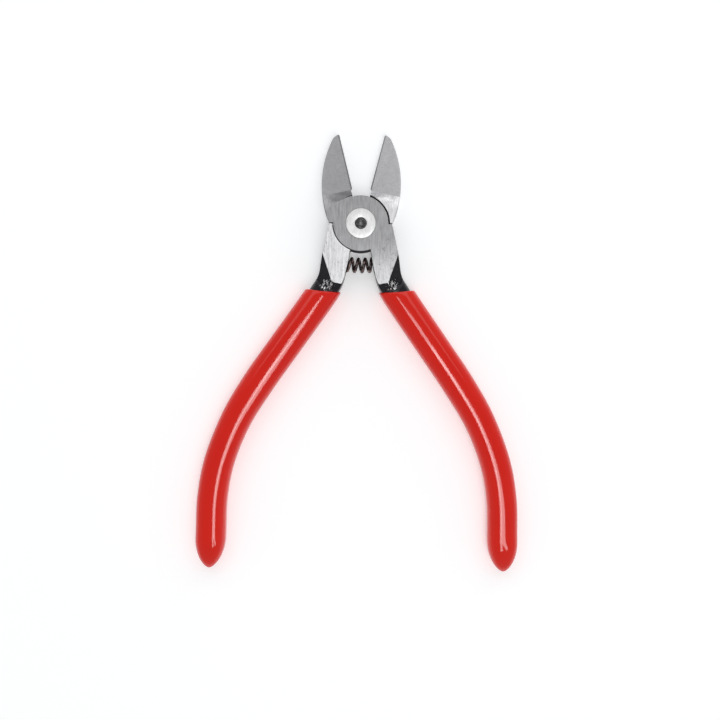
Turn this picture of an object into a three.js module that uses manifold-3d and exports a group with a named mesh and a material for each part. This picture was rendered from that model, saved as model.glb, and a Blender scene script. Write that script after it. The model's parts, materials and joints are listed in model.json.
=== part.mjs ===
// Diagonal cutting pliers, 5 in size, with a lap joint, a return spring and dipped grips.
//
// Frame, in millimetres: the tool lies flat on z = 0 with its jaws towards +Y. The pivot is the Z axis.
// The tool is drawn open, as the spring holds it. Both halves are one forging: the second is the first
// turned over about +Y. A half is drawn upright, with its jaw at x < 0, its handle at x > 0 and its cutting
// edge a little off x = 0, and its group then opens it. The cutting edges meet when the tool has closed
// by twice (OPEN - EDGE_LEAN).

import * as THREE from "three";
import { mergeVertices } from "three/addons/utils/BufferGeometryUtils.js";
import Module from "manifold-3d";

const wasm = await Module();
wasm.setup();

// ---- driving dimensions ----

// The pattern is drawn in its 6 in size, and the finished tool is scaled to its 5 in size.
const PATTERN_SCALE = 5 / 6;

const THICK = 9.6; // joint, and the grips' height
const MID = THICK / 2;
const OPEN = THREE.MathUtils.degToRad(14.8); // each half, from upright to open
const EDGE_LEAN = THREE.MathUtils.degToRad(0.6); // cutting edge inwards of the upright half's Y axis

const DISC_R = 9.05; // lapped joint disc
const RECESS_R = 9.35; // seat of the other half's disc
const LAP_GAP = 0.1; // between the two discs
const SHOULDER_GAP = 0.34; // between the stops when the tool is open

const RIVET_R = 2.6;
const RIVET_END_R = 1.85;
const WASHER_R = 4.9;
const WASHER_T = 1.2;
const RUNNING_GAP = 0.05;

const JAW_WIDE = 10.4; // outer side of the jaw, from the cutting edge
const JAW_OGIVE_Y = 6.5; // where its outer side starts to curve in
const JAW_OGIVE_R = 36;
const JAW_TIP_Y = 30.4;
const TIP_BACK = 0.9; // the rounded tip starts this far below its top
const TIP_X = -0.6; // the rounding's corner
const EDGE_GAP = 0.03; // cutting edge to the closed tool's centre line
const THROAT_RELIEF = 0.45;
const THROAT_EASE = 0.6; // from the throat's relief out to the cutting edge
const BEVEL_Y = 11.75; // the ground bevel starts here
const BEVEL_LOW = 5.48; // height of the bevel's plane at the cutting edge
const BEVEL_SLOPE = 0.26;
const FACET_LOW = MID + 0.05; // narrow steep facet along the cutting edge
const FACET_SLOPE = 1.65;
const ROLL_SLOPE = 1.4; // joint face down to the bevel

const TANG_END_Y = -23;
const SEAT_Y = -14; // spring seats
const SEAT_R = 2.9;
const SEAT_FACE = 0.56; // tang's inner face there
const SEAT_DEPTH = 4;

const WIRE_R = 0.52;
const COIL_R = 2.12; // to the middle of the wire
const COIL_TURNS = 7.5;
const END_TURNS = 1; // closed turns at each end

const CORE_GAP = 0.2; // between the steel core and the grip
const CORE_SHORT = 9; // the core ends this far before the grip's tip
const GRIP_WIDE = 10.6; // at the mouth
const GRIP_NARROWS = 0.55; // by the lower half
const GRIP_TIP = 10.3; // length of the pointed end
const TIP_BLUNT = 0.62; // 1 is a parabola, 0.5 an ellipse
const OVAL = 2.6; // squareness of the core's and the grip's sections: 2 is an ellipse

const ROUND = 48; // facets round a pin
const DISC_ROUND = 72;
const ROD_SIDES = 18;

// ---- solids ----

// A closed three.js geometry as a manifold-3d solid, turned right side out if it was inside out.
function solidOf(geometry) {
  const bare = geometry.index ? geometry.toNonIndexed() : geometry.clone();
  const extra = Object.keys(bare.attributes).filter((name) => name !== "position");
  extra.forEach((name) => bare.deleteAttribute(name));
  const merged = mergeVertices(bare, 1e-4);
  const faces = [];
  for (let i = 0; i < merged.index.count; i += 3) {
    const [a, b, c] = [0, 1, 2].map((k) => merged.index.getX(i + k));
    if (a !== b && b !== c && c !== a) faces.push([a, b, c]);
  }
  const make = (list) =>
    new wasm.Manifold(
      new wasm.Mesh({
        numProp: 3,
        vertProperties: merged.attributes.position.array,
        triVerts: new Uint32Array(list.flat()),
      }),
    );
  const solid = make(faces);
  return solid.volume() > 0 ? solid : make(faces.map(([a, b, c]) => [a, c, b]));
}

function geometryOf(solid) {
  const mesh = solid.getMesh();
  return new THREE.BufferGeometry()
    .setAttribute("position", new THREE.BufferAttribute(mesh.vertProperties, 3))
    .setIndex(new THREE.BufferAttribute(mesh.triVerts, 1))
    .toNonIndexed();
}

const join = (...solids) => solids.reduce((a, b) => a.add(b));

// A flat outline raised from one height to another.
function plate(shape, low, high, curveSegments = 12) {
  const geometry = new THREE.ExtrudeGeometry(shape, {
    depth: high - low,
    bevelEnabled: false,
    curveSegments,
  });
  return solidOf(geometry.translate(0, 0, low));
}

// A solid of revolution about Z. Each profile point is [radius, height].
function turned(profile, segments = ROUND) {
  const points = profile.map(([r, z]) => new THREE.Vector2(r, z));
  return solidOf(new THREE.LatheGeometry(points, segments).rotateX(Math.PI / 2));
}

function pin(radius, low, high, segments = ROUND) {
  return turned([[0, low], [radius, low], [radius, high], [0, high]], segments);
}

// Everything on the far side of the plane through three points: above it, or, with side -1, the same
// space below the plane mirrored in the tool's middle plane.
function beyond(points, side) {
  const [a, b, c] = points.map(([x, y, z]) => new THREE.Vector3(x, y, side > 0 ? z : THICK - z));
  const normal = b.clone().sub(a).cross(c.clone().sub(a)).normalize();
  if (normal.z * side < 0) normal.negate();
  const size = 120;
  const turn = new THREE.Quaternion().setFromUnitVectors(new THREE.Vector3(0, 0, 1), normal);
  const block = new THREE.BoxGeometry(size, size, size).applyQuaternion(turn);
  const centre = a.addScaledVector(normal, size / 2);
  return solidOf(block.translate(centre.x, centre.y, centre.z));
}

const polar = (radius, angle) => [radius * Math.cos(angle), radius * Math.sin(angle)];
const curveThrough = (points) => new THREE.SplineCurve(points.map(([x, y]) => new THREE.Vector2(x, y)));

// ---- outlines of a half, upright ----

const shoulderAngle = OPEN + SHOULDER_GAP / 2 / RECESS_R;
const edgeX = (y) => y * Math.tan(EDGE_LEAN) - EDGE_GAP;

function jawOutline() {
  const ogiveX = JAW_OGIVE_R - JAW_WIDE;
  const tipStart = JAW_TIP_Y - TIP_BACK;
  const ogiveEnd = Math.asin((tipStart - JAW_OGIVE_Y) / JAW_OGIVE_R);
  const edgeStart = BEVEL_Y + THROAT_EASE - 0.15;
  const edgeEnd = JAW_TIP_Y - 0.1;
  const shape = new THREE.Shape();
  shape.moveTo(-THROAT_RELIEF, 0);
  shape.lineTo(-THROAT_RELIEF, BEVEL_Y - 0.15);
  shape.lineTo(edgeX(edgeStart), edgeStart);
  shape.lineTo(edgeX(edgeEnd), edgeEnd);
  shape.quadraticCurveTo(TIP_X, JAW_TIP_Y + 0.25, ogiveX - JAW_OGIVE_R * Math.cos(ogiveEnd), tipStart);
  shape.absarc(ogiveX, JAW_OGIVE_Y, JAW_OGIVE_R, Math.PI - ogiveEnd, Math.PI, false);
  shape.quadraticCurveTo(-10.35, 4.6, ...polar(10.3, Math.PI - shoulderAngle));
  return shape;
}

// Inner and outer sides of the tang, from the joint to the grip.
const tangInner = curveThrough([
  [0.98, -9.1], [0.62, -12.8], [0.44, -16.8], [0.36, -19.5], [0.55, -21.5], [1, TANG_END_Y],
]);
const tangOuter = curveThrough([
  [9.3, TANG_END_Y], [8.9, -21.6], [8.75, -19.5], [9.2, -16], [9.5, -12.5], [9.65, -8], [9.75, -4.5],
]);

function tangOutline() {
  const shape = new THREE.Shape();
  shape.moveTo(0, 0);
  shape.lineTo(0.98, -9.1);
  tangInner.getPoints(16).slice(1).forEach((p) => shape.lineTo(p.x, p.y));
  tangOuter.getPoints(20).forEach((p) => shape.lineTo(p.x, p.y));
  shape.lineTo(...polar(10.2, -shoulderAngle));
  return shape;
}

// The handle's centre line, from inside the tang to the grip's tip.
const handleLine = curveThrough([
  [4.6, -17.5], [5.7, -23.4], [8.65, -32], [13.6, -45.5], [18.45, -59],
  [22.2, -72.2], [23.85, -86.5], [22.9, -99], [20, -111.5], [17.8, -121.9],
]);
handleLine.arcLengthDivisions = 400;
const HANDLE = handleLine.getLength();

// How many times as far from the middle as a point of the unit circle the squarer oval is, in its direction.
const toOval = (x, z) => Math.pow(Math.abs(x) ** OVAL + Math.abs(z) ** OVAL, -1 / OVAL);

// A rod of oval section along the handle's centre line, from one distance along it to another.
// Its sections are closer together at the far end.
function handleRod(from, to, steps, width, height) {
  const profile = [new THREE.Vector2(0, 0)];
  for (let i = 0; i <= steps; i++) {
    profile.push(new THREE.Vector2(1, Math.sin((i / steps) * (Math.PI / 2))));
  }
  profile.push(new THREE.Vector2(0, 1));
  const rod = new THREE.LatheGeometry(profile, ROD_SIDES);
  const place = rod.attributes.position;
  for (let i = 0; i < place.count; i++) {
    const along = from + (to - from) * place.getY(i);
    const middle = handleLine.getPointAt(along / HANDLE);
    const ahead = handleLine.getTangentAt(along / HANDLE);
    const [x, z] = [place.getX(i), place.getZ(i)];
    const reach = Math.hypot(x, z) > 0.5 ? toOval(x, z) : 1;
    const across = (x * reach * width(along)) / 2;
    const up = (z * reach * height(along)) / 2;
    place.setXYZ(i, middle.x - ahead.y * across, middle.y + ahead.x * across, MID + up);
  }
  return solidOf(rod);
}

const fade = (from, to, x) => THREE.MathUtils.smoothstep(x, from, to);
const coreWidth = (s) => 8.3 - 0.8 * fade(8, 22, s) - 1.6 * fade(80, 100, s);
const coreHeight = (s) => 7.5 - 0.2 * fade(8, 22, s) - 1.2 * fade(80, 100, s);

// The grip narrows to a blunt point over its last stretch.
const gripPoint = (s) => Math.pow(1 - Math.pow(Math.max(0, 1 - (HANDLE - s) / GRIP_TIP), 2), TIP_BLUNT);
const gripWidth = (s) => (GRIP_WIDE - GRIP_NARROWS * fade(40, 66, s)) * gripPoint(s);
const gripHeight = (s) => THICK * gripPoint(s);

// ---- the half: jaw, lapped disc and tang in one forging ----

function jawCuts(side) {
  const bevelAt = (x) => BEVEL_LOW - BEVEL_SLOPE * x;
  const roll = beyond([
    [0, BEVEL_Y, bevelAt(0)],
    [-JAW_WIDE, BEVEL_Y, bevelAt(-JAW_WIDE)],
    [0, BEVEL_Y - 1, bevelAt(0) + ROLL_SLOPE],
  ], side);
  const bevel = beyond([[0, 0, bevelAt(0)], [0, 1, bevelAt(0)], [-1, 0, bevelAt(-1)]], side);
  const facet = beyond([
    [0, 0, FACET_LOW],
    [Math.tan(EDGE_LEAN), 1, FACET_LOW],
    [-1, 0, FACET_LOW + FACET_SLOPE],
  ], side);
  const jawSide = solidOf(new THREE.BoxGeometry(40, 80, 80).translate(-19, 40, 0));
  return roll.intersect(join(bevel, facet)).intersect(jawSide);
}

// The ground face ends in a tongue: the forging slopes away beyond its outer side and its end.
function tangCuts(side) {
  const outer = beyond([[9.6, -12.3, THICK], [4.5, -20, THICK], [7, -21.66, THICK - 1.86]], side);
  const end = beyond([[0, -20.6, THICK], [5, -20.9, THICK], [2.5, -23.7, THICK - 1.5]], side);
  return join(outer, end);
}

function halfSolid() {
  const discLow = MID + LAP_GAP / 2;
  const disc = pin(DISC_R, discLow, THICK, DISC_ROUND);
  const jaw = plate(jawOutline(), 0, THICK).subtract(join(jawCuts(1), jawCuts(-1)));
  const tang = plate(tangOutline(), 0, THICK).subtract(join(tangCuts(1), tangCuts(-1)));
  const core = handleRod(0, HANDLE - CORE_SHORT, 18, coreWidth, coreHeight);
  const recess = pin(RECESS_R, -1, discLow, DISC_ROUND);
  const bore = pin(RIVET_R + RUNNING_GAP, -1, THICK + 1);
  const counterbore = pin(WASHER_R + RUNNING_GAP, THICK - WASHER_T - RUNNING_GAP, THICK + 1);
  const seat = pin(SEAT_R, -1, SEAT_DEPTH, 32);
  const seatInTang = seat.rotate([0, 90, 0]).translate([SEAT_FACE, SEAT_Y, MID]);
  return join(disc, jaw, tang, core).subtract(join(recess, bore, counterbore, seatInTang));
}

// ---- the other pieces ----

function gripSolid() {
  const outside = handleRod(2, HANDLE - 0.02, 26, gripWidth, gripHeight);
  const inside = handleRod(0, HANDLE - CORE_SHORT + 0.5, 18,
    (s) => coreWidth(s) + 2 * CORE_GAP, (s) => coreHeight(s) + 2 * CORE_GAP);
  const dipCorners = [[-6, -22.67], [20, -26.75], [20, 0], [-6, 0]];
  const dip = new THREE.Shape(dipCorners.map(([x, y]) => new THREE.Vector2(x, y)));
  return outside.subtract(join(inside, plate(dip, -1, THICK + 1)));
}

function rivetSolid() {
  const shoulder = WASHER_T + RUNNING_GAP;
  return turned([
    [0, 0], [RIVET_END_R, 0], [RIVET_END_R, shoulder], [RIVET_R, shoulder],
    [RIVET_R, THICK - shoulder], [RIVET_END_R, THICK - shoulder], [RIVET_END_R, THICK - 0.15],
    [RIVET_END_R - 0.15, THICK], [0.9, THICK], [0, THICK - 0.4],
  ]);
}

// A flat ring with a small chamfer on its outer face's rim. It fills the counterbore flush.
function washerSolid() {
  const chamfer = 0.15;
  const hole = RIVET_END_R + RUNNING_GAP;
  return turned([
    [hole, 0], [WASHER_R, 0], [WASHER_R, WASHER_T - chamfer], [WASHER_R - chamfer, WASHER_T],
    [hole, WASHER_T], [hole, 0],
  ]);
}

// The spring's wire: a helix on an arc that leaves both seats square, with closed turns at its ends.
class SpringLine extends THREE.Curve {
  constructor() {
    super();
    const seatEnd = SEAT_FACE + SEAT_DEPTH;
    const endX = seatEnd * Math.cos(OPEN) - SEAT_Y * Math.sin(OPEN);
    const endY = seatEnd * Math.sin(OPEN) + SEAT_Y * Math.cos(OPEN);
    this.arcR = endX / Math.sin(OPEN);
    this.arcY = endY + this.arcR * Math.cos(OPEN);
    this.length = 2 * this.arcR * OPEN - 2 * (WIRE_R + 0.15);
  }

  // Distance along the arc after so many turns: close at each end, evenly spaced between.
  reach(turn) {
    const close = 2 * WIRE_R + 0.06;
    const open = (this.length - 2 * END_TURNS * close) / (COIL_TURNS - 2 * END_TURNS);
    const first = Math.min(turn, END_TURNS);
    const last = Math.max(0, turn - (COIL_TURNS - END_TURNS));
    return first * close + last * close + (turn - first - last) * open;
  }

  getPoint(t, target = new THREE.Vector3()) {
    const turn = t * COIL_TURNS;
    const angle = (this.reach(turn) - this.length / 2) / this.arcR;
    const radius = this.arcR + COIL_R * Math.cos(turn * 2 * Math.PI);
    const height = MID + COIL_R * Math.sin(turn * 2 * Math.PI);
    return target.set(radius * Math.sin(angle), this.arcY - radius * Math.cos(angle), height);
  }
}

function springSolid() {
  const wire = new THREE.Shape();
  wire.absarc(0, 0, WIRE_R, 0, 2 * Math.PI, false);
  const steps = Math.round(COIL_TURNS * 14);
  return solidOf(new THREE.ExtrudeGeometry(wire, {
    steps,
    curveSegments: 4,
    bevelEnabled: false,
    extrudePath: new SpringLine(),
  }));
}

// ---- the tool ----

const groundSteel = new THREE.MeshStandardMaterial({ color: 0xb4b5b8, roughness: 0.35, metalness: 1 });
const washerSteel = new THREE.MeshStandardMaterial({ color: 0xdcdddd, roughness: 0.3, metalness: 1 });
const rivetSteel = new THREE.MeshStandardMaterial({ color: 0x2b2b2c, roughness: 0.4, metalness: 0.8 });
const springSteel = new THREE.MeshStandardMaterial({ color: 0x33291f, roughness: 0.4, metalness: 0.8 });
const redVinyl = new THREE.MeshStandardMaterial({ color: 0xd02018, roughness: 0.25, metalness: 0 });

function piece(name, geometry, material) {
  const mesh = new THREE.Mesh(geometry, material);
  mesh.name = name;
  return mesh;
}

const halfGeometry = geometryOf(halfSolid());
const gripGeometry = geometryOf(gripSolid());
const washerGeometry = geometryOf(washerSolid());

const frontHalf = new THREE.Group();
frontHalf.rotation.z = OPEN;
frontHalf.add(piece("front_half", halfGeometry, groundSteel));
frontHalf.add(piece("right_grip", gripGeometry, redVinyl));

const backHalf = new THREE.Group();
backHalf.rotation.z = OPEN;
backHalf.add(piece("back_half", halfGeometry, groundSteel));
backHalf.add(piece("left_grip", gripGeometry, redVinyl));

const turnedOver = new THREE.Group();
turnedOver.rotation.y = Math.PI;
turnedOver.position.z = THICK;
turnedOver.add(backHalf);

const frontWasher = piece("front_washer", washerGeometry, washerSteel);
frontWasher.position.z = THICK - WASHER_T;

const backWasher = piece("back_washer", washerGeometry, washerSteel);
backWasher.rotation.x = Math.PI;
backWasher.position.z = WASHER_T;

const pliers = new THREE.Group();
pliers.scale.setScalar(PATTERN_SCALE);
pliers.add(frontHalf, turnedOver, frontWasher, backWasher);
pliers.add(piece("pivot_rivet", geometryOf(rivetSolid()), rivetSteel));
pliers.add(piece("return_spring", geometryOf(springSolid()), springSteel));

export default pliers;
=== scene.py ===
import json
import math

import bmesh
import bpy
import numpy as np
from mathutils import Euler, Matrix, Vector

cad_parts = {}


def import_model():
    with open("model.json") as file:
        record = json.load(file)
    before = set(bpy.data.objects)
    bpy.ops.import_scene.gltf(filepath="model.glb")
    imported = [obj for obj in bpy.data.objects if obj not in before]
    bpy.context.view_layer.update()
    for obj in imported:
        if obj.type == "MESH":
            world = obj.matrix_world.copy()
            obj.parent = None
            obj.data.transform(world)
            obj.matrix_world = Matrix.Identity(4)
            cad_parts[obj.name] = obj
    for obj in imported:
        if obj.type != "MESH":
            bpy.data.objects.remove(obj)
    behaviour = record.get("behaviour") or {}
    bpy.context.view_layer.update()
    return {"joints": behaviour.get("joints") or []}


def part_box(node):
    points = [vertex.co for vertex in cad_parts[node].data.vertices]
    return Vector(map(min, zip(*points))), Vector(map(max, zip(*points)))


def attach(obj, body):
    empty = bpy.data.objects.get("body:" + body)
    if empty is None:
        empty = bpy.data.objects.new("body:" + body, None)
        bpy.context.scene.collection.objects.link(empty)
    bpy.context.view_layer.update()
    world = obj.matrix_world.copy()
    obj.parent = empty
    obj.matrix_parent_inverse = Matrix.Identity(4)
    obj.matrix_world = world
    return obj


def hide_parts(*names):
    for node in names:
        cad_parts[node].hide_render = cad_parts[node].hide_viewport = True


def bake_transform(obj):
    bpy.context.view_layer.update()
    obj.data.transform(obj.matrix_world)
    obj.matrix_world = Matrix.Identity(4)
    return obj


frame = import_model()

# Shapes are worked out in the pattern's 6 in size, in millimetres, in the frame of one upright half: its
# cutting edge is near x = 0, its jaw at x < 0, its handle at x > 0, and the pivot is the Z axis. Both halves
# are the same forging. The front one is opened about the pivot, and the back one is also turned over about
# +Y. MM brings a millimetre of the pattern to a metre of the tool, which is the 5 in size.

PATTERN_SCALE = 5 / 6
MM = 0.001 * PATTERN_SCALE
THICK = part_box("front_half")[1].z / MM
MID = THICK / 2
EDGE_LEAN = math.radians(0.6)  # the cutting edge leans this far inwards of the upright half's Y axis
OPEN = math.radians(frame["joints"][0]["range_deg"][1]) / 2 + EDGE_LEAN  # each half, from upright to rest

DISC_R = 9.05
RIM_EASE = 0.12
RECESS_JAW_R = 9.5  # the other half's disc turns in here
RECESS_TANG_R = 9.3
LAP_GAP = 0.1
GRIND = 0.015  # the jaw's forging stands this far over the joint's ground faces before they are cut
SHOULDER = OPEN + math.radians(1.04)  # from the half's X axis to its stops
STOP_R = 10.3  # out to the stops' outer ends

WASHER_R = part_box("front_washer")[1].x / MM
WASHER_T = WASHER_R / 4
BORE_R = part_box("pivot_rivet")[1].x / MM + 0.05
RIVET_END_R = 1.85
DIMPLE_R = 0.85

JAW_WIDE = 10.4
JAW_BEND = (-10.35, 4.6)  # corner of the bend from the shoulder to the jaw's full width
JAW_OGIVE_Y = 6.5  # the jaw's outer side curves in from here
JAW_OGIVE_R = 36
JAW_TIP_Y = 30.4
TIP_BACK = 0.9
TIP_X = -0.6
EDGE_GAP = 0.03
THROAT_RELIEF = 0.45
BEVEL_Y = 11.75  # the ground bevel starts here
BEVEL_LOW = 5.48
BEVEL_SLOPE = 0.26
FACET_SLOPE = 1.65
FACET_LOW = MID + 0.05
FACET_WIDE = 0.423  # from the cutting edge to where the facet meets the bevel
ROLL_LENGTH = 2.7  # joint face down to the bevel, at the throat, where it ends at the disc's rim
ROLL_SPREAD = 0.03  # what each square millimetre of distance from the edge adds to its length
ROLL_POWER = 1.35
ROLL_RUNOUT = 1.4  # slope that takes the roll under the bevel beyond the bevel's start
SIDE_ROUND = 0.35

TONGUE_SIDE = ((9.6, -12.3), (4.5, -20))  # lines that bound the ground tongue of the tang
TONGUE_SIDE_SLOPE = 0.62
TONGUE_END = ((5, -20.9), (0, -20.6))
TONGUE_END_SLOPE = 0.5

SEAT_Y = -14
SEAT_R = 2.9
SEAT_FACE = 0.56
SEAT_DEPTH = 4
WIRE_R = 0.52
COIL_R = 2.12
COIL_TURNS = 7.5

CORE_GAP = 0.2
OVAL = 2.6  # squareness of the core's and the grip's sections: 2 is an ellipse
CORE_SHORT = 9
CORE_START = 7  # along the handle's centre line, where the tang has become the core
NECK_RIBS = (6.3, 8)  # the forging regains its full section between these ribs
GRIP_WIDE = 10.6
GRIP_NARROWS = 0.55
GRIP_TIP = 10.3
TIP_BLUNT = 0.62
DIP_LINE = ((-6, -22.67), (20, -26.75))  # the grip's mouth
LIP_ROUND = 0.42

# ---- curves and surfaces ----


def curve_through(points, at):
    """Smooth curve through the points, at parameters from 0 to 1. Each span is the cubic that meets its two
    points with half the chord between their neighbours as its slope."""
    p = np.asarray(points, float)
    spans = len(p) - 1
    place = np.clip(np.asarray(at, float) * spans, 0, spans)
    i = np.minimum(place.astype(int), spans - 1)
    w = (place - i)[:, None]
    before, a, b, after = p[np.maximum(i - 1, 0)], p[i], p[i + 1], p[np.minimum(i + 2, spans)]
    leave, arrive = (b - before) / 2, (after - a) / 2
    return a + leave * w + (3 * (b - a) - 2 * leave - arrive) * w**2 + (2 * (a - b) + leave + arrive) * w**3


def arc_bend(start, corner, end, steps):
    """Points on the parabola from start to end that leaves and arrives towards corner."""
    t = np.linspace(0, 1, steps)[:, None]
    return (1 - t) ** 2 * np.asarray(start) + 2 * t * (1 - t) * np.asarray(corner) + t**2 * np.asarray(end)


def eased(corners, size, steps=5):
    """An open outline whose inner corners are each replaced by a small bend, size back from the corner."""
    points = [np.asarray(c, float) for c in corners]
    outline = [points[0][None]]
    for before, corner, after in zip(points, points[1:], points[2:]):
        back, on = before - corner, after - corner
        back *= min(size, np.linalg.norm(back) * 0.45) / np.linalg.norm(back)
        on *= min(size, np.linalg.norm(on) * 0.45) / np.linalg.norm(on)
        outline.append(arc_bend(corner + back, corner, corner + on, steps))
    return np.concatenate(outline + [points[-1][None]])


def smooth_least(a, b, blend):
    """The smaller of a and b, eased where they differ by less than blend."""
    near = np.maximum(blend - np.abs(a - b), 0) / blend
    return np.minimum(a, b) - near**2 * blend / 4


def fade(start, end, x):
    """0 up to start, 1 from end, and 3t^2 - 2t^3 between."""
    t = np.clip((x - start) / (end - start), 0, 1)
    return t * t * (3 - 2 * t)


def skin(name, rings, ends="caps"):
    """Mesh of rows of closed rings, an array (rows, around, 3): a quad between each four neighbours. The ends
    are flat caps, points that merge ("poles"), or joined to each other ("loop")."""
    rows, around = rings.shape[:2]
    index = np.arange(rows * around).reshape(rows, around)
    if ends == "loop":
        index = np.concatenate([index, index[:1]])
    beside = np.roll(index, -1, axis=1)
    faces = np.stack([index[:-1], beside[:-1], beside[1:], index[1:]], axis=-1).reshape(-1, 4).tolist()
    if ends == "caps":
        faces += [index[0][::-1].tolist(), index[-1].tolist()]
    mesh = bpy.data.meshes.new(name)
    mesh.from_pydata(rings.reshape(-1, 3), [], faces)
    work = bmesh.new()
    work.from_mesh(mesh)
    bmesh.ops.remove_doubles(work, verts=work.verts, dist=1e-5)
    bmesh.ops.recalc_face_normals(work, faces=work.faces)
    work.to_mesh(mesh)
    work.free()
    piece = bpy.data.objects.new(name, mesh)
    bpy.context.scene.collection.objects.link(piece)
    return piece


def turned(name, profile, around=144):
    """Surface of revolution about Z: a profile point (r, z) goes to (r cos a, r sin a, z)."""
    r, z = np.asarray(profile, float).T[:, :, None]
    a = np.linspace(0, 2 * np.pi, around, endpoint=False)
    rings = np.stack([r * np.cos(a), r * np.sin(a), z + 0 * a], axis=-1)
    return skin(name, rings, "poles" if r[0] == 0 else "loop")


def plug(name, radius, low, high):
    return turned(name, [(0, low), (radius, low), (radius, high), (0, high)])


def joined(piece, tools, operation):
    """The piece with each tool added or cut away. The tools are used up."""
    for tool in tools:
        cut = piece.modifiers.new("join", "BOOLEAN")
        cut.operation = operation
        cut.solver = "EXACT"
        cut.object = tool
    whole = bpy.data.meshes.new_from_object(piece.evaluated_get(bpy.context.evaluated_depsgraph_get()))
    piece.modifiers.clear()
    piece.data = whole
    for tool in tools:
        bpy.data.objects.remove(tool)
    return piece


# ---- a half: jaw, lapped disc, and tang with its core ----


def jaw_outer_x(y):
    """The jaw's outer side at height y: a bend from the shoulder, then an arc to near the tip."""
    shoulder = (-STOP_R * math.cos(SHOULDER), STOP_R * math.sin(SHOULDER))
    bend = arc_bend(shoulder, JAW_BEND, (-JAW_WIDE, JAW_OGIVE_Y), 20)
    arc = JAW_OGIVE_R - JAW_WIDE - np.sqrt(JAW_OGIVE_R**2 - np.maximum(y - JAW_OGIVE_Y, 0) ** 2)
    return np.where(y < JAW_OGIVE_Y, np.interp(y, bend[:, 1], bend[:, 0]), arc)


def edge_x(y):
    return y * math.tan(EDGE_LEAN) - EDGE_GAP


def jaw_height(x, y):
    """Height of the jaw's upper face: the bevel's plane, a steep facet along the cutting edge, and behind
    the bevel a roll that rises to the joint's face and flattens as 1 - (1 - t)^ROLL_POWER."""
    bevel = BEVEL_LOW - BEVEL_SLOPE * x
    blade = np.minimum(bevel, FACET_LOW - FACET_SLOPE * (x - y * math.tan(EDGE_LEAN)))
    up = np.clip((BEVEL_Y - y) / (ROLL_LENGTH + ROLL_SPREAD * x**2), 0, 1)
    roll = bevel + (THICK + GRIND - bevel) * (1 - (1 - up) ** ROLL_POWER)
    return np.maximum(blade, roll - ROLL_RUNOUT * np.maximum(y - BEVEL_Y, 0))


def jaw_rings():
    """Sections across the jaw, from the shoulder to the tip: from the inner side over the upper face to a
    rounded outer edge, and back under the same way mirrored in the middle plane."""
    base = np.linspace(0, 1, 46)
    top = JAW_TIP_Y - TIP_BACK
    end = JAW_TIP_Y - 0.1
    blade = np.concatenate([BEVEL_Y + np.array([0.1, 0.2, 0.35, 0.5]), np.linspace(BEVEL_Y + 0.8, top, 48)])
    tip = arc_bend((jaw_outer_x(top), top), (TIP_X, JAW_TIP_Y + 0.25), (edge_x(end), end), 16)[1:-1]
    inner_y = np.concatenate([0.1 + (BEVEL_Y - 0.1) * base, blade, np.linspace(top, end, 16)[1:-1]])
    start_y = STOP_R * math.sin(SHOULDER)
    outer_y = np.concatenate([start_y + (BEVEL_Y - start_y) * base, blade, tip[:, 1]])
    outer_x = np.concatenate([jaw_outer_x(outer_y[: -len(tip)]), tip[:, 0]])
    eased_out = np.clip((inner_y - BEVEL_Y + 0.15) / 0.6, 0, 1)
    inner_x = -THROAT_RELIEF + (edge_x(inner_y) + THROAT_RELIEF) * eased_out
    inner = np.stack([inner_x, inner_y], axis=-1)[:, None]
    across = np.stack([outer_x, outer_y], axis=-1)[:, None] - inner
    wide = np.linalg.norm(across, axis=-1)
    scale = np.minimum(1, wide / 2)

    turn = np.linspace(0, np.pi / 2, 8)
    near = np.array([0, 0.1, 0.25, FACET_WIDE]) * scale
    far = wide - SIDE_ROUND * scale * (1 - np.sin(turn))
    between = near[:, -1:] + (far[:, :1] - near[:, -1:]) * np.linspace(0, 1, 22)[1:-1]
    place = np.concatenate([near, between, far], axis=1) / wide
    drop = np.zeros_like(place)
    drop[:, -len(turn):] = SIDE_ROUND * scale * (1 - np.cos(turn))
    plan = inner + across * place[..., None]
    rise = jaw_height(plan[..., 0], plan[..., 1]) - drop
    upper = np.concatenate([plan, rise[..., None]], axis=-1)
    lower = np.concatenate([plan, THICK - rise[..., None]], axis=-1)[:, ::-1]
    return np.concatenate([upper, lower], axis=1)


HANDLE_LINE = curve_through([
    (4.6, -17.5), (5.7, -23.4), (8.65, -32), (13.6, -45.5), (18.45, -59),
    (22.2, -72.2), (23.85, -86.5), (22.9, -99), (20, -111.5), (17.8, -121.9),
], np.linspace(0, 1, 3001))
HANDLE_RUN = np.concatenate([[0], np.cumsum(np.linalg.norm(np.diff(HANDLE_LINE, axis=0), axis=1))])
HANDLE = HANDLE_RUN[-1]


def handle_at(s):
    """Point on the handle's centre line at a distance along it, and the unit vector across it there."""
    x, y = (np.interp(s, HANDLE_RUN, HANDLE_LINE[:, k]) for k in (0, 1))
    ahead_x, ahead_y = (np.interp(s, HANDLE_RUN, np.gradient(HANDLE_LINE[:, k], HANDLE_RUN)) for k in (0, 1))
    long = np.hypot(ahead_x, ahead_y)
    return np.stack([x, y], axis=-1), np.stack([-ahead_y / long, ahead_x / long], axis=-1)


def core_width(s):
    return 8.3 - 0.8 * fade(8, 22, s) - 1.6 * fade(80, 100, s)


def core_height(s):
    return 7.5 - 0.2 * fade(8, 22, s) - 1.2 * fade(80, 100, s)


def beyond_line(start, end, plan):
    """Distance of plan points past the line from start to end, to its left."""
    ahead = np.subtract(end, start) / np.linalg.norm(np.subtract(end, start))
    offset = plan - np.asarray(start)
    return ahead[0] * offset[..., 1] - ahead[1] * offset[..., 0]


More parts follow.
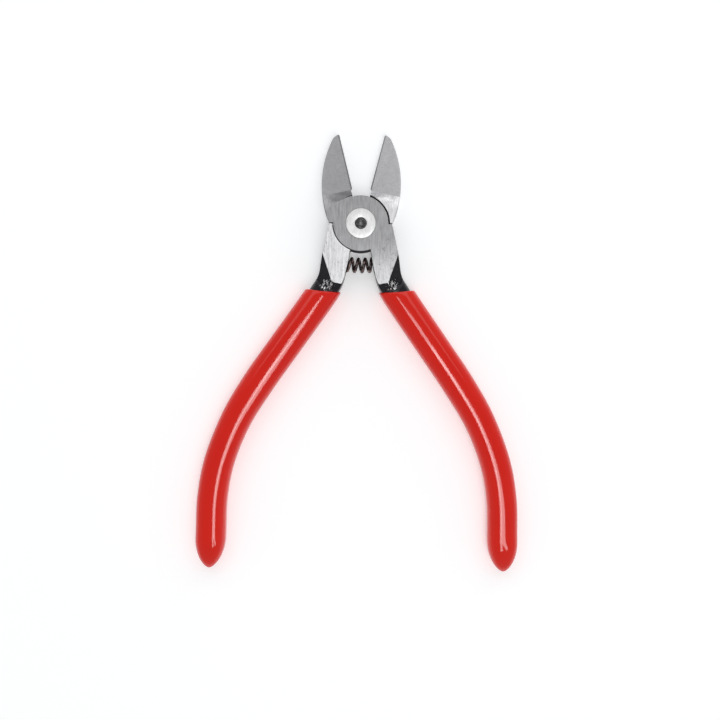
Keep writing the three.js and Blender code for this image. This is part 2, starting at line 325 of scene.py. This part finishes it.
def tang_rings():
    """Sections across the tang and the core. Each is a superellipse between an inner and an outer point: a
    square slab by the joint, an oval in the grip. The forging falls away beyond the two lines that bound the
    tongue that is ground later, and has its full section again from the neck."""
    # inner x, y, outer x, y, half height, squareness
    ribs = [
        (0.6, -0.3, 9.81, -2.79, 5.1, 24), (0.75, -3, 9.75, -4.8, 5.1, 24),
        (0.88, -6, 9.66, -7.6, 5.1, 24), (0.98, -9.1, 9.55, -10.4, 5.1, 22),
        (0.64, -12.6, 9.38, -13.4, 5.1, 18), (0.44, -16.6, 9.05, -16.4, 5.1, 16),
        (0.4, -19.6, 8.8, -18.9, 5.08, 12), (0.72, -22.3, 9.05, -20.9, 4.85, 6),
    ]
    s = np.arange(CORE_START, HANDLE - CORE_SHORT, 4)
    middle, side = handle_at(s)
    half = core_width(s)[:, None] / 2
    square = np.full((len(s), 1), OVAL)
    rod = [middle - side * half, middle + side * half, core_height(s)[:, None] / 2, square]
    ribs = np.concatenate([ribs, np.concatenate(rod, axis=1)])
    last = len(ribs) - 1
    at = np.concatenate([np.linspace(0, 10, 150)[:-1], np.linspace(10, last, 40)]) / last
    rows = curve_through(ribs, at)[:, None]

    even = np.linspace(0, 2 * np.pi, 128, endpoint=False)
    a = even + 0.2 * np.sin(4 * even)
    square = rows[..., 5]
    reach = (np.abs(np.cos(a)) ** square + np.abs(np.sin(a)) ** square) ** (-1 / square)
    across = (1 + reach * np.cos(a))[..., None] / 2
    plan = rows[..., 0:2] + (rows[..., 2:4] - rows[..., 0:2]) * across
    forged = rows[..., 4] * np.abs(reach * np.sin(a))
    beside = MID - TONGUE_SIDE_SLOPE * beyond_line(*TONGUE_SIDE, plan)
    behind = MID - TONGUE_END_SLOPE * beyond_line(*TONGUE_END, plan)
    ground = smooth_least(forged, smooth_least(beside, behind, 0.12), 0.3)
    neck = fade(*NECK_RIBS, at * last)[:, None]
    rise = MID + np.sign(np.sin(a)) * np.maximum(ground, forged * neck)
    return np.concatenate([plan, rise[..., None]], axis=-1)


def half_forging(name):
    """Jaw, tang and lapped disc in one piece, with both faces of the joint ground flat."""
    disc_low = MID + LAP_GAP / 2
    seam = 0.02  # keeps faces that are joined from lying in one plane
    raised = THICK + 0.5
    jaw_recess = plug("recess", RECESS_JAW_R, -2, disc_low + seam)
    jaw = joined(skin("jaw", jaw_rings()), [jaw_recess], "DIFFERENCE")
    tang_recess = plug("recess", RECESS_TANG_R, -2, disc_low + seam)
    tang = joined(skin("tang", tang_rings()), [tang_recess], "DIFFERENCE")
    rim = DISC_R - RIM_EASE
    disc = turned(name, [
        (0, disc_low), (DISC_R - 0.05, disc_low), (DISC_R, disc_low + 0.05), (DISC_R, THICK - RIM_EASE),
        (rim, THICK), (rim - 0.5, raised), (0, raised),
    ])
    half = joined(disc, [jaw, tang], "UNION")
    corners = [(-60, -160), (60, -160), (60, 60), (-60, 60)]
    slab = skin("slab", np.array([[(x, y, z) for x, y in corners] for z in (0.0, THICK)]))
    half = joined(half, [slab], "INTERSECT")
    seat = plug("seat", SEAT_R, -3, SEAT_DEPTH)
    seat.data.transform(Matrix.Translation((SEAT_FACE, SEAT_Y, MID)) @ Matrix.Rotation(math.pi / 2, 4, "Y"))
    bore = plug("bore", BORE_R, -2, THICK + 2)
    counterbore = plug("counterbore", WASHER_R + 0.05, THICK - WASHER_T - 0.05, THICK + 2)
    return joined(half, [seat, bore, counterbore], "DIFFERENCE")


# ---- the other pieces ----


def grip_point(s):
    """Share of the full size that the grip keeps towards its pointed end."""
    return np.clip(1 - np.maximum(0, 1 - (HANDLE - s) / GRIP_TIP) ** 2, 0, 1) ** TIP_BLUNT


def grip_rings():
    """Oval sections along the handle's centre line: from the closed end of the bore along its wall to the
    mouth, round the lip, and back along the outside to the tip. The mouth is cut on a slant."""
    a = np.linspace(0, 2 * np.pi, 72, endpoint=False)
    dip_start, dip_end = np.array(DIP_LINE)
    mouth = np.interp(0, beyond_line(dip_end, dip_start, HANDLE_LINE), HANDLE_RUN)
    side = handle_at(mouth)[1]
    ahead = np.array([side[1], -side[0]])
    normal = np.array([dip_start[1] - dip_end[1], dip_end[0] - dip_start[0]])
    lip = mouth - (side @ normal) / (ahead @ normal) * GRIP_WIDE / 2 * np.cos(a) + LIP_ROUND

    bore_end = HANDLE - CORE_SHORT + 0.5
    inward = np.linspace(0, 1, 40)[:-1, None]
    turn = np.linspace(0, np.pi, 11)[:, None]
    outward = np.sin(np.linspace(0, np.pi / 2, 120)[1:, None])
    s = np.concatenate([bore_end + (lip - bore_end) * inward, lip - LIP_ROUND * np.sin(turn),
                        lip + (HANDLE - lip) * outward])
    wall = np.concatenate([0 * inward, (1 - np.cos(turn)) / 2, 1 + 0 * outward])
    size = grip_point(s)
    size[0] = 0
    outer_wide = GRIP_WIDE - GRIP_NARROWS * fade(40, 66, s)
    wide = (core_width(s) + 2 * CORE_GAP) * (1 - wall) + outer_wide * wall
    high = (core_height(s) + 2 * CORE_GAP) * (1 - wall) + THICK * wall
    middle, side = handle_at(s)
    reach = (np.abs(np.cos(a)) ** OVAL + np.abs(np.sin(a)) ** OVAL) ** (-1 / OVAL)
    plan = middle + side * (size * wide / 2 * reach * np.cos(a))[..., None]
    rise = MID + size * high / 2 * reach * np.sin(a)
    return np.concatenate([plan, rise[..., None]], axis=-1)


def spring_rings():
    """The wire: a helix about an arc that leaves both seats square, with a closed turn at each end. It is
    worked out in the open tool's frame."""
    seat_end = SEAT_FACE + SEAT_DEPTH
    end_x = seat_end * math.cos(OPEN) - SEAT_Y * math.sin(OPEN)
    end_y = seat_end * math.sin(OPEN) + SEAT_Y * math.cos(OPEN)
    arc_r = end_x / math.sin(OPEN)
    arc_y = end_y + arc_r * math.cos(OPEN)
    end_gap, coil_gap = 0.12, 0.03  # to the seats, and between turns that are closed
    length = 2 * arc_r * OPEN - 2 * (WIRE_R + end_gap)
    close = 2 * WIRE_R + coil_gap
    turn = np.linspace(0, COIL_TURNS, int(COIL_TURNS * 48))
    reach = np.interp(turn, [0, 1, COIL_TURNS - 1, COIL_TURNS], [0, close, length - close, length])
    angle = (reach - length / 2) / arc_r
    radius = arc_r + COIL_R * np.cos(turn * 2 * np.pi)
    height = MID + COIL_R * np.sin(turn * 2 * np.pi)
    line = np.stack([radius * np.sin(angle), arc_y - radius * np.cos(angle), height], axis=-1)
    axis = np.stack([arc_r * np.sin(angle), arc_y - arc_r * np.cos(angle), MID + 0 * angle], axis=-1)

    ahead = np.gradient(line, axis=0)
    ahead /= np.linalg.norm(ahead, axis=1)[:, None]
    out = line - axis
    out -= ahead * np.sum(out * ahead, axis=1)[:, None]
    out /= np.linalg.norm(out, axis=1)[:, None]
    up = np.cross(ahead, out)
    a = np.linspace(0, 2 * np.pi, 20, endpoint=False)[:, None]
    return line[:, None] + WIRE_R * (np.cos(a) * out[:, None] + np.sin(a) * up[:, None])


def washer(name):
    hole = RIVET_END_R + 0.05
    outline = eased([
        (3.2, 0), (hole, 0), (hole, WASHER_T), (WASHER_R, WASHER_T), (WASHER_R, 0), (3.2, 0),
    ], 0.14)
    return turned(name, outline[:-1])


def rivet(name):
    shoulder = WASHER_T + 0.05
    bore = BORE_R - 0.05
    return turned(name, eased([
        (0, 0), (RIVET_END_R, 0), (RIVET_END_R, shoulder), (bore, shoulder), (bore, THICK - shoulder),
        (RIVET_END_R, THICK - shoulder), (RIVET_END_R, THICK), (DIMPLE_R, THICK), (0, THICK - 0.45),
    ], 0.18, 6))


# ---- shader maths ----


class Value:
    """A shader socket that Python can do sums with. Each operator adds the Math node that it needs."""

    def __init__(self, paint, socket):
        self.paint = paint
        self.socket = socket

    def math(self, operation, *others):
        return self.paint.node("ShaderNodeMath", {"operation": operation}, dict(enumerate((self, *others))))

    def __add__(self, other):
        return self.math("ADD", other)

    __radd__ = __add__

    def __mul__(self, other):
        return self.math("MULTIPLY", other)

    __rmul__ = __mul__

    def __sub__(self, other):
        return self.math("SUBTRACT", other)

    def __rsub__(self, other):
        return (self * -1) + other

    def __truediv__(self, other):
        return self.math("DIVIDE", other)

    def __abs__(self):
        return self.math("ABSOLUTE")


class Paint:
    """One material's nodes. Constants go straight on the shader's sockets."""

    def __init__(self, name, **constants):
        self.material = bpy.data.materials.new(name)
        self.material.use_nodes = True
        self.tree = self.material.node_tree
        self.shader = self.tree.nodes["Principled BSDF"]
        for socket, value in constants.items():
            self.shader.inputs[socket.replace("_", " ")].default_value = value

    def node(self, kind, settings, sockets, output=0):
        """Adds a node: its settings first, then a value or a link into each named socket."""
        node = self.tree.nodes.new(kind)
        for name, value in settings.items():
            setattr(node, name, value)
        for name, value in sockets.items():
            self.put(node.inputs[name], value)
        return Value(self, node.outputs[output])

    def put(self, socket, value):
        if isinstance(value, Value):
            self.tree.links.new(value.socket, socket)
        else:
            socket.default_value = value

    def set(self, name, value):
        self.put(self.shader.inputs[name], value)

    def place(self, location=(0, 0, 0), rotation=(0, 0, 0)):
        """Object coordinates, in millimetres of the pattern, turned and moved."""
        place = self.node("ShaderNodeTexCoord", {}, {}, "Object")
        return self.node("ShaderNodeMapping", {}, {
            "Vector": place, "Location": location, "Rotation": rotation, "Scale": (1 / MM,) * 3,
        })

    def scaled(self, place, scale):
        return self.node("ShaderNodeVectorMath", {"operation": "MULTIPLY"}, {0: place, 1: scale})

    def noise(self, place, scale, detail=3, rough=0.5):
        return self.node("ShaderNodeTexNoise", {}, {
            "Vector": place, "Scale": scale, "Detail": detail, "Roughness": rough,
        }, "Fac")

    def step(self, value, low, high):
        """0 below low, 1 above high, smooth between."""
        return self.node("ShaderNodeMapRange", {"interpolation_type": "SMOOTHSTEP"}, {
            "Value": value, "From Min": low, "From Max": high,
        })

    def mix(self, share, first, second):
        return self.node("ShaderNodeMix", {"data_type": "RGBA"}, {0: share, 6: first, 7: second}, 2)

    def from_axis(self, place):
        """Distance from the pivot's axis."""
        return self.node("ShaderNodeVectorMath", {"operation": "LENGTH"}, {
            0: self.scaled(place, (1, 1, 0)),
        }, "Value")

    def tone(self, level, blue=1):
        """Grey of this brightness, with its blue scaled."""
        return self.node("ShaderNodeCombineColor", {}, {0: level, 1: level, 2: level * blue})

    def bump(self, height, strength, distance_mm):
        return self.node("ShaderNodeBump", {}, {
            "Height": height, "Strength": strength, "Distance": distance_mm * MM,
        })


def grey(level):
    return (level, level, level * 1.01, 1)


def forging_paint(name, location, rotation, face, face_end, blade, roll):
    """Ground steel where the forging meets the joint's faces and on the jaw, black lacquer on the skin below
    them. face to roll are the painted brightness of the joint, of the tongue's end, of the blade and of the
    roll: painted light and shade, set apart for each half's copy of this one steel. The blade's level also
    holds the grey of its ground finish."""
    paint = Paint(name, Coat_Roughness=0.12, Coat_IOR=1.45, Specular_IOR_Level=0.3)
    rest = paint.place()
    place = paint.place(location, rotation)
    x, y, z = [paint.node("ShaderNodeSeparateXYZ", {}, {0: place}, k) for k in (0, 1, 2)]
    grain = paint.noise(paint.scaled(rest, (2.3, 0.16, 2.3)), 1.0, 4, 0.7)
    fine = paint.noise(paint.scaled(rest, (9, 0.5, 9)), 1.0, 3, 0.6)
    across = paint.noise(paint.scaled(place, (0.25, 5, 3)), 1.0, 3, 0.6)
    cloud = paint.noise(rest, 0.35, 2)
    handle_wise = paint.place(location, (rotation[0], rotation[1], rotation[2] - 0.35))
    speck = paint.noise(paint.scaled(handle_wise, (2.1, 0.8, 1.5)), 1.0, 3, 0.65)

    below = MID - abs(z - MID)  # under the nearer ground face
    square_radius = x * x + y * y
    past_disc = paint.step(square_radius, 8.9**2, 9**2)
    past_recess = paint.step(square_radius, 9.7**2, 9.8**2)
    tang = paint.step(y * -1, 2.4, 2.6)
    from_tongue = (x - 5.2) * (x - 5.2) / 6 + (y + 22.2) * (y + 22.2) / 6
    depth = below - (speck - 0.5) * 0.16
    lacquer = paint.step(depth, 0.01, 0.05) * tang * past_recess
    # Patches where the lacquer is worn through to bare steel, with more of them round the tongue's end.
    wear_and_glints = paint.step(speck + paint.step(from_tongue, 1.5, 0) * 0.2, 0.72, 0.75)
    lacquer = lacquer * (1 - wear_and_glints)
    # The wall round the disc and its recess, in the gap between the two halves: painted shade. Its grey is
    # darkened nearly to black below, and it is made a rough non-metal.
    shaded_joint_wall = paint.step(below, 0.1, 0.35) * past_disc * (1 - past_recess)

    is_blade = paint.step(y, BEVEL_Y - 0.04, BEVEL_Y + 0.02)
    rolled = (BEVEL_Y - y) / (x * x * ROLL_SPREAD + ROLL_LENGTH)
    is_roll = paint.step(rolled, 1, 0.07) * (1 - is_blade)
    # Painted light and shade: along the tang the ground face goes from face by the disc to face_end towards
    # the tongue's end, and the roll and the blade are set to their own levels. The blade's level also holds
    # the grey of its ground finish.
    level = face + (face_end - face) * paint.step(y * -1, 6, 19)
    level = level + is_blade * (blade - face) + is_roll * (roll - face)
    # Towards the tongue's end the bare steel in these patches is painted brighter: painted glints.
    level = level + wear_and_glints * (1 - is_blade) * tang * paint.step(y * -1, 17, 19) * (0.85 - level)
    # Mask of the facet along the cutting edge, which is darkened by half further down as painted shade.
    edge = paint.step(x - y * math.tan(EDGE_LEAN), -0.5, -0.42) * is_blade
    streak = (grain - 0.5) * 1.2 * (1 - is_blade) + (fine - 0.5) * 0.5 + (cloud - 0.5) * 0.2
    level = level * (1 + streak + is_blade * (across - 0.5) * 0.5)
    # Painted shade: the joint's wall is darkened nearly to black, and the facet along the cutting edge by
    # half.
    level = level * (1 - shaded_joint_wall * 0.93) * (1 - edge * 0.5)
    black = paint.mix(paint.step(speck, 0.3, 0.7), (0.004, 0.004, 0.006, 1), (0.014, 0.014, 0.018, 1))
    paint.set("Base Color", paint.mix(lacquer, paint.tone(level, 1.02), black))
    paint.set("Metallic", (1 - lacquer) * (1 - shaded_joint_wall))
    ground_rough = 0.33 + is_blade * 0.15 + (grain - 0.5) * 0.2 + shaded_joint_wall * 0.5
    paint.set("Roughness", ground_rough * (1 - lacquer) + lacquer * (0.3 + (speck - 0.5) * 0.2))
    paint.set("Coat Weight", lacquer * 0.25)
    hammered = paint.noise(place, 0.9, 3, 0.55)
    relief = (grain * 0.5 + fine * 0.25) * (1 - lacquer) + lacquer * (hammered * 6 + speck * 1.2)
    paint.set("Normal", paint.bump(relief, 0.35, 0.03))
    return paint.material


def washer_paint():
    paint = Paint("washer_steel", Metallic=1)
    place = paint.place()
    lines = paint.node("ShaderNodeTexNoise", {"noise_dimensions": "1D"}, {
        "W": paint.from_axis(place) * 14, "Detail": 3,
    }, "Fac")
    cloud = paint.noise(paint.scaled(place, (1.6, 0.5, 1)), 1.0, 4, 0.7)
    level = 0.75 + (cloud - 0.5) * 0.45 + (lines - 0.5) * 0.12
    paint.set("Base Color", paint.tone(level))
    paint.set("Roughness", 0.38 + (lines - 0.5) * 0.2)
    paint.set("Normal", paint.bump(lines, 0.25, 0.015))
    return paint.material


def rivet_paint():
    paint = Paint("rivet_steel", Metallic=0.9)
    place = paint.place()
    blotch = paint.noise(place, 1.6, 4, 0.6)
    dimple = paint.step(paint.from_axis(place), 1.0, 0.1)
    level = 0.035 + paint.step(blotch, 0.4, 0.75) * 0.12 + dimple * 0.16
    paint.set("Base Color", paint.tone(level))
    paint.set("Roughness", 0.42 + (blotch - 0.5) * 0.3)
    paint.set("Normal", paint.bump(blotch, 0.4, 0.05))
    return paint.material


def spring_paint():
    paint = Paint("spring_wire", Metallic=0.85)
    place = paint.place()
    patch = paint.noise(place, 0.9, 3)
    brown = paint.step(patch, 0.4, 0.65)
    paint.set("Base Color", paint.mix(brown, (0.07, 0.055, 0.055, 1), (0.3, 0.21, 0.19, 1)))
    paint.set("Roughness", 0.17 + (patch - 0.5) * 0.15)
    paint.set("Normal", paint.bump(paint.noise(place, 6, 3), 0.2, 0.02))
    return paint.material


def vinyl_paint():
    paint = Paint("red_vinyl", Coat_Weight=1, Coat_Roughness=0.06, Coat_IOR=1.5, Specular_IOR_Level=0.03)
    place = paint.place()
    cloud = paint.noise(place, 0.06, 2)
    ripple = paint.noise(place, 0.35, 2)
    fine = paint.noise(place, 3.5, 2)
    paint.set("Base Color", paint.mix(cloud, (0.75, 0.01, 0.003, 1), (0.83, 0.016, 0.005, 1)))
    paint.set("Roughness", 0.3 + (fine - 0.5) * 0.12)
    paint.set("Normal", paint.bump(ripple + fine * 0.2, 0.03, 0.05))
    return paint.material


# ---- the tool, piece by piece ----


def finish(piece, material, body, node, matrix=None, sharp=28):
    """Brings a piece to the row frame, in metres. Its edges are crisp where it bends by more than sharp
    degrees."""
    piece.data.transform(Matrix.Scale(MM, 4) @ (matrix or Matrix.Identity(4)))
    piece.data.materials.clear()
    piece.data.materials.append(material)
    piece.data.shade_smooth()
    piece.data.set_sharp_from_angle(angle=math.radians(sharp))
    weigh = piece.modifiers.new("even_normals", "WEIGHTED_NORMAL")
    weigh.keep_sharp = True
    if body:
        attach(piece, body)
    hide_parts(node)
    return piece


opened = Matrix.Rotation(OPEN, 4, "Z")
turned_over = Matrix.Translation((0, 0, THICK)) @ Matrix.Rotation(math.pi, 4, "Y")

# One steel in two painted copies: the front half's darker, as painted shade, the back half's lighter, as
# painted light.
front_shaded_paint = forging_paint(
    "front_forging_steel_painted_shade", (0, 0, 0), (0, 0, -OPEN), face=0.345, face_end=0.54, blade=0.44, roll=0.44)
back_lit_paint = forging_paint(
    "back_forging_steel_painted_light", (0, 0, THICK), (0, math.pi, -OPEN), face=0.67, face_end=0.63, blade=0.6, roll=0.93)
vinyl = vinyl_paint()
bright = washer_paint()

front_forging = half_forging("front_forging")
finish(front_forging, front_shaded_paint, "front_half", "front_half", opened)
back_forging = half_forging("back_forging")
finish(back_forging, back_lit_paint, "back_half", "back_half", turned_over @ opened)
right_dip = skin("right_dipped_grip", grip_rings(), "poles")
finish(right_dip, vinyl, "front_half", "right_grip", opened, 50)
left_dip = skin("left_dipped_grip", grip_rings(), "poles")
finish(left_dip, vinyl, "back_half", "left_grip", turned_over @ opened, 50)
finish(rivet("rivet_pin"), rivet_paint(), "front_half", "pivot_rivet")
rise = Matrix.Translation((0, 0, THICK - WASHER_T))
for name, node, seated in (
    ("front_rivet_washer", "front_washer", rise),
    ("back_rivet_washer", "back_washer", turned_over @ rise),
):
    finish(washer(name), bright, "front_half", node, seated)

spring = finish(skin("spring_coil", spring_rings()), spring_paint(), None, "return_spring")
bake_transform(spring)

# ---- floor, lights and camera ----


def studio_floor():
    half, depth = 900, 10.0
    corners = [(-half, -half), (half, -half), (half, half), (-half, half)]
    floor = skin("floor", np.array([[(x, y, z) for x, y in corners] for z in (-depth, 0.0)]))
    floor.data.transform(Matrix.Scale(MM, 4))
    paint = Paint("white_floor", Roughness=0.9, Emission_Strength=0.32)
    paint.set("Base Color", (0.915, 0.935, 0.938, 1))
    paint.set("Emission Color", grey(1))
    floor.data.materials.append(paint.material)


def softbox(name, place, aim, wide, long, watts):
    """A rectangular light at place, in metres, facing the point aim."""
    light = bpy.data.lights.new(name, "AREA")
    light.shape = "RECTANGLE"
    light.size, light.size_y = wide, long
    light.energy = watts
    lamp = bpy.data.objects.new(name, light)
    lamp.location = place
    lamp.rotation_euler = (Vector(aim) - Vector(place)).to_track_quat("-Z", "Y").to_euler()
    bpy.context.scene.collection.objects.link(lamp)


def camera():
    """Straight down, turned so that the tool stands a little askew, as it lay."""
    lens, sensor = 60, 36
    span = 236.6 * MM  # of the picture at the tool's middle height
    aim_x, aim_y = 0.36 * MM, -44.44 * MM
    roll = math.radians(0.8)
    data = bpy.data.cameras.new("camera")
    data.lens, data.sensor_width = lens, sensor
    seat = bpy.data.objects.new("camera", data)
    seat.location = (aim_x, aim_y, span * lens / sensor + MID * MM)
    seat.rotation_euler = Euler((0, 0, roll))
    bpy.context.scene.collection.objects.link(seat)
    bpy.context.scene.camera = seat


def world(zenith, horizon):
    """A sky that fades from its zenith to its horizon."""
    sky = bpy.data.worlds.new("studio")
    sky.use_nodes = True
    tree = sky.node_tree
    direction = tree.nodes.new("ShaderNodeTexCoord")
    height = tree.nodes.new("ShaderNodeSeparateXYZ")
    ramp = tree.nodes.new("ShaderNodeValToRGB")
    ramp.color_ramp.elements[0].color = grey(horizon)
    ramp.color_ramp.elements[1].color = grey(zenith)
    tree.links.new(direction.outputs["Generated"], height.inputs[0])
    tree.links.new(height.outputs["Z"], ramp.inputs[0])
    tree.links.new(ramp.outputs[0], tree.nodes["Background"].inputs[0])
    bpy.context.scene.world = sky


studio_floor()
camera()
world(zenith=0.24, horizon=0.56)
softbox("ceiling_left", place=(0.035, -0.26, 0.84), aim=(0, -0.04, 0), wide=0.11, long=0.52, watts=1.0)
softbox("ceiling_right", place=(0.165, -0.26, 0.84), aim=(0, -0.04, 0), wide=0.11, long=0.52, watts=1.0)
softbox("beyond_jaws", place=(0, 0.47, 0.68), aim=(0, 0, 0), wide=1.0, long=0.72, watts=1.85)
softbox("low_right", place=(0.42, 0.85, 0.22), aim=(0, 0, 0), wide=0.6, long=0.3, watts=0.6)
bpy.context.scene.view_settings.view_transform = "Standard"
